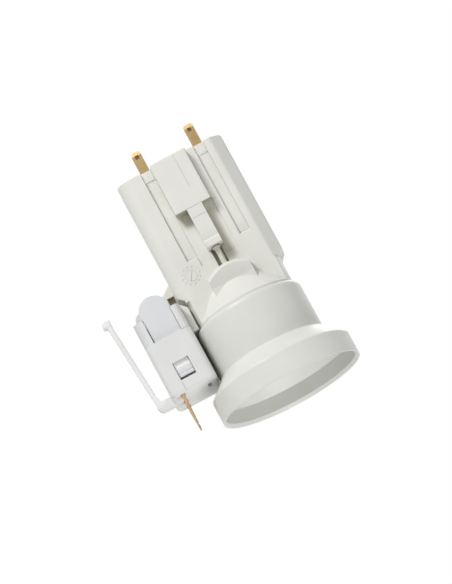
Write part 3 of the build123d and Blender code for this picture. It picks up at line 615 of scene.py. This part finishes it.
@dataclass
class Wardrobe:
    """Makes each finish once and hands it out."""

    made: dict[str, bpy.types.Material] = field(default_factory=dict)

    def material(self, finish: Finish) -> bpy.types.Material:
        """Makes a finish's material at its first use.

        Args:
            finish: The finish.

        Returns:
            Its material.
        """
        if finish.name not in self.made:
            self.made[finish.name] = finish.material()
        return self.made[finish.name]

    def dress_node(self, name: str, finish: Finish) -> None:
        """Puts a finish on a solid that stays as it is.

        Args:
            name: The node.
            finish: Its finish.
        """
        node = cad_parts[name]
        made = self.material(finish)
        if not node.material_slots:
            node.data.materials.append(made)
        for slot in node.material_slots:
            slot.material = made
        log.info("node %s: %s", name, made.name)

    def dress_piece(self, piece: bpy.types.Object, finish: Finish, body: str, slot: str) -> None:
        """Puts a finish on an added piece and lets it ride.

        Args:
            piece: The piece.
            finish: Its finish.
            body: The body it moves with.
            slot: Name of a material slot for the piece; not used.
        """
        piece.data.materials.append(self.material(finish))
        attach(piece, body)
        log.info("piece %s on %s: %d faces", piece.name, body, len(piece.data.polygons))


@dataclass
class Surface:
    """Points and faces that become one mesh object."""

    name: str
    points: list[Vector] = field(default_factory=list)
    faces: list[tuple[int, ...]] = field(default_factory=list)

    def grid(self, at: Callable[[int, int], Vector], rows: int, columns: int,
             closed_rows: bool = False, closed_columns: bool = False) -> None:
        """Adds a sheet of quads.

        Args:
            at: Gives the point of a row and a column.
            rows: Number of rows of points.
            columns: Number of columns of points.
            closed_rows: Joins the last row to the first.
            closed_columns: Joins the last column to the first.
        """
        first = len(self.points)
        self.points.extend(at(row, column) for row in range(rows) for column in range(columns))
        for row in range(rows if closed_rows else rows - 1):
            for column in range(columns if closed_columns else columns - 1):
                around = ((row, column), (row, column + 1), (row + 1, column + 1), (row + 1, column))
                self.faces.append(tuple(first + (r % rows) * columns + c % columns for r, c in around))

    def tube(self, path: Sequence[Vector], radius: Callable[[float], float], sides: int) -> None:
        """Adds a round tube with closed ends.

        Args:
            path: Points along its middle.
            radius: Radius by the share of the way along.
            sides: Number of sides.
        """
        first = len(self.points)
        normal = (path[1] - path[0]).orthogonal().normalized()
        for index, point in enumerate(path):
            ahead = path[min(index + 1, len(path) - 1)] - path[max(index - 1, 0)]
            ahead.normalize()
            normal = (normal - ahead * normal.dot(ahead)).normalized()
            side = ahead.cross(normal)
            size = radius(index / (len(path) - 1))
            for turn in range(sides):
                angle = math.tau * turn / sides
                self.points.append(point + (normal * math.cos(angle) + side * math.sin(angle)) * size)
        for index in range(len(path) - 1):
            for turn in range(sides):
                near, far = first + index * sides, first + (index + 1) * sides
                step = (turn + 1) % sides
                self.faces.append((near + turn, near + step, far + step, far + turn))
        last = first + (len(path) - 1) * sides
        self.faces.append(tuple(first + turn for turn in reversed(range(sides))))
        self.faces.append(tuple(last + turn for turn in range(sides)))

    def prism(self, outline: Sequence[tuple[float, float]], span: tuple[float, float], rim: float,
              at: Callable[[float, float, float], Vector], steps: int = 4) -> None:
        """Adds an outline drawn out to a solid whose two rims are rounded.

        Args:
            outline: Points of the closed outline.
            span: Where it begins and ends, across the outline.
            rim: Radius of the rims.
            at: Turns outline coordinates and the place across into a point.
            steps: Number of steps round each rim.
        """
        area = sum(a[0] * b[1] - b[0] * a[1] for a, b in zip(outline, [*outline[1:], outline[0]]))
        inward = [self._inward(outline, index, math.copysign(1.0, area)) for index in range(len(outline))]
        rows = []
        for step in range(steps + 1):
            angle = math.pi / 2 * step / steps
            rows.append((rim * (1 - math.sin(angle)), span[0] + rim * (1 - math.cos(angle))))
        rows += [(inset, span[0] + span[1] - across) for inset, across in reversed(rows)]
        first = len(self.points)

        def point(row: int, column: int) -> Vector:
            """Gives a point of the skin.

            Args:
                row: Number of the ring, from the first end to the last.
                column: Number of the outline's point.

            Returns:
                The point.
            """
            inset, across = rows[row]
            (a, b), (da, db) = outline[column], inward[column]
            return at(a + da * inset, b + db * inset, across)

        self.grid(point, len(rows), len(outline), closed_columns=True)
        last = first + (len(rows) - 1) * len(outline)
        self.faces.append(tuple(first + index for index in reversed(range(len(outline)))))
        self.faces.append(tuple(last + index for index in range(len(outline))))

    @staticmethod
    def _inward(outline: Sequence[tuple[float, float]], index: int, turn: float) -> tuple[float, float]:
        """Gives the unit direction into an outline at one of its points.

        Args:
            outline: The outline.
            index: Number of the point.
            turn: 1 for an outline that runs anticlockwise, else -1.

        Returns:
            The direction.
        """
        before = Vector(outline[index - 1])
        after = Vector(outline[(index + 1) % len(outline)])
        along = (after - before).normalized() * turn
        return -along.y, along.x

    def build(self, smooth: bool = True) -> bpy.types.Object:
        """Makes the object, with its faces turned outwards.

        Args:
            smooth: True shades the faces as curved, but keeps edges above SHARP_ANGLE sharp.

        Returns:
            The object, in the scene.
        """
        mesh = bpy.data.meshes.new(self.name)
        mesh.from_pydata([tuple(point) for point in self.points], [], self.faces)
        mesh.validate()
        shape = bmesh.new()
        shape.from_mesh(mesh)
        bmesh.ops.recalc_face_normals(shape, faces=shape.faces)
        shape.to_mesh(mesh)
        shape.free()
        mesh.polygons.foreach_set("use_smooth", [smooth] * len(mesh.polygons))
        if smooth:
            mesh.set_sharp_from_angle(angle=SHARP_ANGLE)
        made = bpy.data.objects.new(self.name, mesh)
        bpy.context.scene.collection.objects.link(made)
        return made


def across_y(x: float, z: float, y: float) -> Vector:
    """Stands an outline of x and z in the frame, drawn out along y."""
    return Vector((x, y, z))


def across_x(y: float, z: float, x: float) -> Vector:
    """Stands an outline of y and z in the frame, drawn out along x."""
    return Vector((x, y, z))


def rounded(corners: Corners, steps: int = 6) -> list[tuple[float, float]]:
    """Rounds the corners of an outline.

    Args:
        corners: Corners in millimetres, each with its radius.
        steps: Number of steps round a corner.

    Returns:
        The outline's points, in metres.
    """
    points = []
    for index, (a, b, radius) in enumerate(corners):
        corner = Vector((a, b))
        if radius == 0:
            points.append((a * MM, b * MM))
            continue
        before = Vector(corners[index - 1][:2]) - corner
        after = Vector(corners[(index + 1) % len(corners)][:2]) - corner
        reach = min(radius, before.length * CORNER_REACH, after.length * CORNER_REACH)
        start, end = corner + before.normalized() * reach, corner + after.normalized() * reach
        for step in range(steps + 1):
            share = step / steps
            point = start * (1 - share) ** 2 + corner * 2 * share * (1 - share) + end * share ** 2
            points.append((point.x * MM, point.y * MM))
    return points


@dataclass
class LampSocket:
    """The threaded shell that takes the lamp, with its contacts and insulating core."""

    wardrobe: Wardrobe
    pitch: float = 3.629 * MM
    crest: float = 1.02 * MM
    sheet: float = 0.3 * MM
    runout: float = 2.2 * MM
    runout_curve: float = 0.7
    flange: float = 2.6 * MM
    sectors: int = 108
    rows_per_pitch: int = 16
    outer: float = field(init=False)
    low: float = field(init=False)
    high: float = field(init=False)

    def build(self) -> None:
        """Makes the threaded shell and dresses the nodes round it."""
        low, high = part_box("screw_shell")
        self.outer = (high.x - low.x) / 2
        self.low, self.high = low.z, high.z
        surface = Surface("threaded_shell")
        rows = self._profile_heights()
        inner = [(z, -self.sheet) for z in rows]
        outer = [(z, 0.0) for z in reversed(rows)]
        surface.grid(lambda row, turn: self._wall((inner + outer)[row], turn),
                     len(inner) + len(outer), self.sectors, closed_rows=True, closed_columns=True)
        surface.grid(self._flange_point, 4, self.sectors, closed_rows=True, closed_columns=True)
        piece = surface.build()
        self.wardrobe.dress_piece(piece, Metals.SHELL.value, "holder", "nickel")
        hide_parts("screw_shell")
        for name in ("centre_contact", "side_contact", "contact_rivets"):
            self.wardrobe.dress_node(name, Metals.BRASS.value)
        self.wardrobe.dress_node("socket_core", Plastics.INSULATOR.value)

    def _profile_heights(self) -> list[float]:
        """Spreads the rows of the shell evenly.

        Returns:
            Their heights, from the lowest.
        """
        length = self.high - self.low
        count = round(length / self.pitch * self.rows_per_pitch)
        return [self.low + length * index / count for index in range(count + 1)]

    def _wall(self, row: tuple[float, float], turn: int) -> Vector:
        """Gives a point of the rolled wall.

        Args:
            row: Height, and how far the face lies from the outer one.
            turn: Number of the sector.

        Returns:
            The point.
        """
        height, inset = row
        angle = math.tau * turn / self.sectors
        fade = min(1.0, (height - self.low) / self.runout, (self.high - height) / self.runout)
        fade = max(0.0, fade) ** self.runout_curve
        wave = 0.5 - 0.5 * math.cos(math.tau * (height - self.low) / self.pitch - angle)
        radius = self.outer + inset - self.crest * fade * wave
        return Vector((radius * math.cos(angle), radius * math.sin(angle), height))

    def _flange_point(self, row: int, turn: int) -> Vector:
        """Gives a point of the flat ring at the top of the shell.

        Args:
            row: Number of the ring's edge, 0 to 3.
            turn: Number of the sector.

        Returns:
            The point.
        """
        angle = math.tau * turn / self.sectors
        radius = self.outer - (self.flange if row in (0, 3) else self.sheet / 2)
        height = self.high - (self.sheet if row in (0, 1) else 0.0)
        return Vector((radius * math.cos(angle), radius * math.sin(angle), height))


@dataclass
class LatchSpring:
    """The small coil spring under the slider, made at its length at rest, though the real one shortens as
    the slider is drawn down.
    """

    wardrobe: Wardrobe
    wire: float = 0.32 * MM
    turns: float = 11.0
    closed_turns: float = 1.4
    closed_rise: float = 0.03
    steps_per_turn: int = 36
    sides: int = 10
    kept: float = 0.74

    def build(self) -> None:
        """Makes the coil in the place of the plain one."""
        low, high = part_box("latch_spring")
        middle = (low + high) / 2
        radius = (high.x - low.x) / 2 - self.wire / 2
        bottom, top = low.z + self.wire / 2, high.z - self.wire / 2
        total = self.turns + self.closed_turns
        count = int(total * self.steps_per_turn)
        path = []
        for index in range(count + 1):
            turn = total * index / count
            path.append(Vector((
                middle.x + radius * math.cos(math.tau * turn),
                middle.y + radius * math.sin(math.tau * turn),
                bottom + (top - bottom) * self._rise(turn, total),
            )))
        surface = Surface("coil_spring")
        surface.tube(path, lambda share: self.wire / 2, self.sides)
        piece = surface.build()
        self.wardrobe.dress_piece(piece, Metals.STEEL.value, "holder", "steel")
        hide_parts("latch_spring")
        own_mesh(piece)

    def _rise(self, turn: float, total: float) -> float:
        """Gives the share of the height at a turn, with nearly flat end turns.

        Args:
            turn: Turns from the lower end.
            total: Turns in all.

        Returns:
            The share, 0 to 1.
        """
        closed = self.closed_turns / 2
        flat = self.closed_rise
        if turn < closed:
            return flat * turn / closed
        if turn > total - closed:
            return 1 - flat * (total - turn) / closed
        return flat + (1 - 2 * flat) * (turn - closed) / (total - 2 * closed)


@dataclass
class Housing:
    """The body with its skirt, rear cover and metal inside."""

    wardrobe: Wardrobe
    plastics: tuple[str, ...] = ("body_housing", "rear_cover", "latch_slider", "plug_carrier")
    pins: tuple[str, ...] = ("live_pin", "neutral_pin")
    brass: tuple[str, ...] = ("live_strip", "neutral_strip", "strip_rivets")

    # Outlines are in millimetres, as rounded() takes them, and all else is in metres.
    lining_half: float = 1.87 * MM
    lining_rim: float = 0.05 * MM
    lining_outline: Corners = (
        (-4.0, 54.7, 0), (-5.45, 53.95, 0.3), (-5.45, 83.95, 0.05), (-5.85, 84.1, 0.1),
        (-5.85, 87.66, 0.1), (-4.4, 87.66, 0), (-4.4, 84.2, 0), (-4.0, 84.2, 0),
    )
    seat_span: tuple[float, float] = (0.6 * MM, 2.8 * MM)
    seat_rim: float = 0.1 * MM
    seat_outline: Corners = ((-18.3, 31.3, 0.1), (-17.1, 31.3, 0.1), (-17.1, 42.0, 0.1), (-18.3, 42.0, 0.1))

    def build(self) -> None:
        """Dresses the nodes, lines the channels over the pins and makes the carrier's seat."""
        for name in self.plastics:
            self.wardrobe.dress_node(name, Plastics.HOUSING.value)
        for name in self.brass:
            self.wardrobe.dress_node(name, Metals.BRASS.value)
        for name in self.pins:
            self.wardrobe.dress_node(name, Metals.PIN.value)
            self._lining(name)
        self._seat()
        self.wardrobe.dress_node("skirt", Plastics.SKIRT.value)
        self.wardrobe.dress_node("spring_rod", Plastics.ROD.value)
        self.wardrobe.dress_node("cover_screws", Metals.STEEL.value)

    def _seat(self) -> None:
        """Makes the rib deep in the slit between the neck and the plug's carrier."""
        surface = Surface("carrier_seat")
        surface.prism(rounded(self.seat_outline), self.seat_span, self.seat_rim, across_y)
        self.wardrobe.dress_piece(surface.build(), Plastics.HOUSING.value, "holder", "white_plastic")

    def _lining(self, pin: str) -> None:
        """Makes the rib that covers a pin at the bottom of its channel.

        Args:
            pin: The pin's node.
        """
        low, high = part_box(pin)
        middle = (low.x + high.x) / 2
        span = (middle - self.lining_half, middle + self.lining_half)
        surface = Surface(f"channel_lining_{pin}")
        surface.prism(rounded(self.lining_outline), span, self.lining_rim, across_x)
        self.wardrobe.dress_piece(surface.build(), Plastics.HOUSING.value, "holder", "white_plastic")


@dataclass
class SparePlug:
    """The plug that is clipped to the holder's side."""

    wardrobe: Wardrobe
    finishes: dict[str, Finish] = field(default_factory=lambda: {
        "plug_shell": Plastics.PLUG.value, "plug_core": Plastics.CORE.value,
        "cord_clamp": Plastics.CORE.value, "terminal_screws": Metals.STEEL.value,
        "clamp_screws": Metals.STEEL.value,
    })

    # Numbers without MM go into outlines, which rounded() takes in millimetres.
    strap_root: float = -42.2
    strap_lean: float = 2.1
    strap_thickness: float = 1.6
    strap_rim: float = 0.4 * MM
    hinge_rim: float = 0.12 * MM
    hinge_margin: float = 0.03 * MM
    hinge_outline: Corners = (
        (-42.28, 15.2, 0.6), (-40.7, 14.9, 0), (-38.7, 15.9, 0), (-38.7, 16.93, 0),
        (-40.1, 17.1, 1.2), (-40.6, 18.9, 0), (-40.8, 19.9, 0), (-42.32, 19.4, 0.5),
    )
    finger_reach: float = 0.2 * MM
    finger_rim: float = 0.12 * MM
    blade_half_width: float = 1.7 * MM
    blade_half_thickness: float = 0.6
    blade_offset: float = 1.0 * MM
    blade_point: float = 0.5
    blade_rim: float = 0.18 * MM
    bar_rim: float = 0.15 * MM
    terminal_half: float = 2.5 * MM
    terminal_height: float = 6.6
    terminal_rim: float = 0.25 * MM

    def build(self) -> None:
        """Dresses the nodes and makes the strap, its hinge, the snap finger and the blades."""
        for name, finish in self.finishes.items():
            self.wardrobe.dress_node(name, finish)
        self._strap()
        self._hinge()
        self._finger()
        for name, side in (("live_blade", -1), ("earth_blade", 0), ("neutral_blade", 1)):
            self._blade(name, side)

    def _strap(self) -> None:
        """Makes the strap with soft edges and a rounded hook."""
        low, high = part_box("retaining_strap")
        root_x, root_z, top_z = self.strap_root, low.z / MM, high.z / MM
        top_x, thick = root_x - self.strap_lean, self.strap_thickness
        outline = rounded((
            (root_x, root_z, 0.1), (root_x + thick, root_z, 0.1), (top_x + thick, top_z - 2.4, 3.0),
            (top_x + thick + 0.3, top_z, 0.9), (top_x - 1.3, top_z, 1.3), (top_x - 1.45, top_z - 2.2, 1.0),
            (top_x - 0.1, top_z - 2.3, 0.7),
        ), 8)
        surface = Surface("strap_moulding")
        surface.prism(outline, (low.y, high.y), self.strap_rim, across_y)
        piece = surface.build()
        self.wardrobe.dress_piece(piece, Plastics.STRAP.value, "strap", "white_plastic")
        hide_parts("retaining_strap")

    def _hinge(self) -> None:
        """Makes the thin web that joins the strap to its lug."""
        low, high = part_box("retaining_strap")
        span = (low.y - self.hinge_margin, high.y + self.hinge_margin)
        surface = Surface("hinge_web")
        surface.prism(rounded(self.hinge_outline), span, self.hinge_rim, across_y)
        piece = surface.build()
        piece.data.materials.append(self.wardrobe.material(Plastics.STRAP.value))
        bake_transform(piece)
        log.info("piece %s between plug and strap", piece.name)

    def _finger(self) -> None:
        """Makes the snap finger with a soft face and a relief line, filling its window."""
        low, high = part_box("release_tab")
        face, back = low.y / MM, high.y / MM
        bottom, top = low.z / MM, high.z / MM
        outline = rounded((
            (face + 0.2, top, 0.2), (face - 0.02, bottom + 4.9, 1.0), (face - 0.04, bottom + 1.7, 0.3),
            (face + 0.16, bottom + 1.5, 0.2), (face + 0.05, bottom + 1.2, 0.2), (face, bottom, 0.5),
            (back, bottom + 0.3, 0.3), (back, top, 0.3),
        ))
        span = (low.x - self.finger_reach, high.x + self.finger_reach)
        surface = Surface("snap_finger")
        surface.prism(outline, span, self.finger_rim, across_x)
        piece = surface.build()
        self.wardrobe.dress_piece(piece, Plastics.FINGER_PAINTED_LIGHT.value, "tab", "core_plastic")
        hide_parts("release_tab")

    def _blade(self, name: str, side: int) -> None:
        """Makes one blade that thins towards its tip, with its bar and terminal block.

        Args:
            name: The blade's node.
            side: -1 for the front blade, 0 for the middle one, 1 for the rear one.
        """
        low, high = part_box(name)
        half, thin = self.blade_half_width, self.blade_half_thickness
        x = (low.x + high.x) / 2 - self.blade_offset
        y = {-1: low.y + half, 0: (low.y + high.y) / 2, 1: high.y - half}[side]
        well = {-1: high.y - self.terminal_half, 0: y, 1: low.y + self.terminal_half}[side]
        top = high.z / MM
        foot = top - self.terminal_height
        tip = low.z / MM - self.blade_point

        def beside(across: float, z: float, along: float) -> Vector:
            """Gives a point from its distance to the blade's middle, its height and its y."""
            return Vector((x + across, along, z))

        edge = rounded((
            (-thin, foot, 0), (-thin, tip + 7.5, 2.0), (-thin / 2, tip + 0.2, 0.2), (0.0, tip, 0.1),
            (thin / 2, tip + 0.2, 0.2), (thin, tip + 7.5, 2.0), (thin, foot, 0),
        ))
        bar = rounded((
            (-thin, foot - 1.2, 0.2), (thin, foot - 1.2, 0.2),
            (thin, foot + 0.1, 0.1), (-thin, foot + 0.1, 0.1),
        ))
        block = rounded(((-1.5, foot, 0.4), (3.5, foot, 0.4), (3.5, top, 0.4), (-1.5, top, 0.4)))
        surface = Surface(name + "_stamping")
        surface.prism(edge, (y - half, y + half), self.blade_rim, beside)
        surface.prism(bar, (min(y, well) - half, max(y, well) + half), self.bar_rim, beside)
        surface.prism(block, (well - self.terminal_half, well + self.terminal_half),
                      self.terminal_rim, beside)
        piece = surface.build()
        self.wardrobe.dress_piece(piece, Metals.BLADE.value, "core", "brass")
        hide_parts(name)


@dataclass(frozen=True)
class Lamp:
    """A square soft lamp: where it comes from, the light it gives a white card, and its width."""

    name: str
    direction: Point
    strength: float
    size: float


@dataclass
class Studio:
    """Camera at the photograph's angle, soft lamps, and a pale floor far below the hung holder."""

    lean: float = math.radians(28.48)
    elevation: float = math.radians(-13.1)
    turn: float = math.radians(-1.2)
    distance: float = 2.0
    frame_height: float = 0.1933
    sensor: float = 36.0
    aim_right: float = -0.0219
    aim_up: float = 0.0323
    ambient: float = 0.47
    lamp_distance: float = 1.3
    lamps: tuple[Lamp, ...] = (
        Lamp("key_lamp", (-0.27, -0.62, 0.74), 0.56, 0.36),
        Lamp("low_fill", (0.12, -0.30, -0.95), 0.52, 0.9),
        Lamp("rear_lamp", (0.45, 0.80, 0.50), 0.16, 0.6),
    )
    floor_height: float = -2.2
    floor_half: float = 30.0
    floor_colour: Colour = (0.86, 0.86, 0.86)
    floor_glow: float = 0.8

    def build(self) -> None:
        """Sets everything up."""
        self._camera()
        for lamp in self.lamps:
            self._lamp(lamp)
        self._world()
        self._floor()
        bpy.context.scene.view_settings.view_transform = "Standard"

    def _camera(self) -> None:
        """Places the camera, rolled so that the holder leans to the upper left."""
        along = Vector((math.cos(self.turn), math.sin(self.turn), 0.0))
        outward = Vector((math.sin(self.turn), -math.cos(self.turn), 0.0))
        back = outward * math.cos(self.elevation) + Vector((0.0, 0.0, math.sin(self.elevation)))
        above = back.cross(along)
        right = along * math.cos(self.lean) - above * math.sin(self.lean)
        up = along * math.sin(self.lean) + above * math.cos(self.lean)
        target = right * self.aim_right + up * self.aim_up
        data = bpy.data.cameras.new("camera")
        data.sensor_width = self.sensor
        data.lens = self.sensor * self.distance / self.frame_height
        camera = bpy.data.objects.new("camera", data)
        axes = Matrix((right, up, back)).transposed()
        camera.matrix_world = Matrix.Translation(target + back * self.distance) @ axes.to_4x4()
        bpy.context.scene.collection.objects.link(camera)
        bpy.context.scene.camera = camera

    def _lamp(self, lamp: Lamp) -> None:
        """Adds one lamp, aimed at the holder.

        Args:
            lamp: The lamp.
        """
        data = bpy.data.lights.new(lamp.name, "AREA")
        data.size = lamp.size
        data.energy = lamp.strength * (math.pi * self.lamp_distance) ** 2
        made = bpy.data.objects.new(lamp.name, data)
        made.location = Vector(lamp.direction).normalized() * self.lamp_distance
        made.rotation_mode = "QUATERNION"
        made.rotation_quaternion = made.location.to_track_quat("Z", "Y")
        bpy.context.scene.collection.objects.link(made)

    def _seen(self, graph: Graph) -> Signal:
        """Picks out the rays that show the background itself.

        Args:
            graph: The graph of the world or the floor.

        Returns:
            1 for those rays, 0 for the ones that only carry light.
        """
        path = graph.node("ShaderNodeLightPath")
        camera = graph.signal(path, "Is Camera Ray")
        glossy = graph.signal(path, "Is Glossy Ray")
        return camera.at_least(glossy).at_least(graph.signal(path, "Is Transmission Ray"))

    def _world(self) -> None:
        """Makes a world that is white to look at and lights with less."""
        world = bpy.data.worlds.new("studio_world")
        graph = Graph(world)
        strength = self._seen(graph) * (1 - self.ambient) + self.ambient
        back = graph.node("ShaderNodeBackground", None, {"Color": (1.0, 1.0, 1.0), "Strength": strength})
        graph.node("ShaderNodeOutputWorld", None, {"Surface": graph.signal(back)})
        bpy.context.scene.world = world

    def _floor(self) -> None:
        """Makes the plain pale floor, nearly white to look at."""
        surface = Surface("floor")
        half, height = self.floor_half, self.floor_height
        square = ((-half, -half), (half, -half), (half, half), (-half, half))
        surface.points = [Vector((x, y, height)) for x, y in square]
        surface.faces = [(0, 1, 2, 3)]
        floor = surface.build(smooth=False)
        made = bpy.data.materials.new("floor_paper")
        graph = Graph(made)
        seen = self._seen(graph)
        paper = graph.signal(graph.node("ShaderNodeBsdfDiffuse", None, {"Color": self.floor_colour}))
        glow = graph.signal(graph.node("ShaderNodeEmission", None, {"Strength": 1.0}))
        mixed = graph.node("ShaderNodeMixShader", None, {0: seen * self.floor_glow, 1: paper, 2: glow})
        graph.node("ShaderNodeOutputMaterial", None, {"Surface": graph.signal(mixed)})
        floor.data.materials.append(made)


class SubAssembly(Protocol):
    """A group of pieces that is built and dressed together."""

    def build(self) -> None:
        """Builds and dresses the pieces."""
        ...


def corners(box: tuple[Vector, Vector]) -> list[list[float]]:
    """Turns a box into plain lists."""
    return [[float(value) for value in corner] for corner in box]


def main() -> None:
    """Builds and dresses every piece in order."""
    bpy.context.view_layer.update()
    Studio().build()
    wardrobe = Wardrobe()
    groups: tuple[SubAssembly, ...] = (
        Housing(wardrobe), LampSocket(wardrobe), LatchSpring(wardrobe), SparePlug(wardrobe),
    )
    for group in groups:
        log.info("building %s", type(group).__name__)
        group.build()


if __name__ == "__main__":
    main()
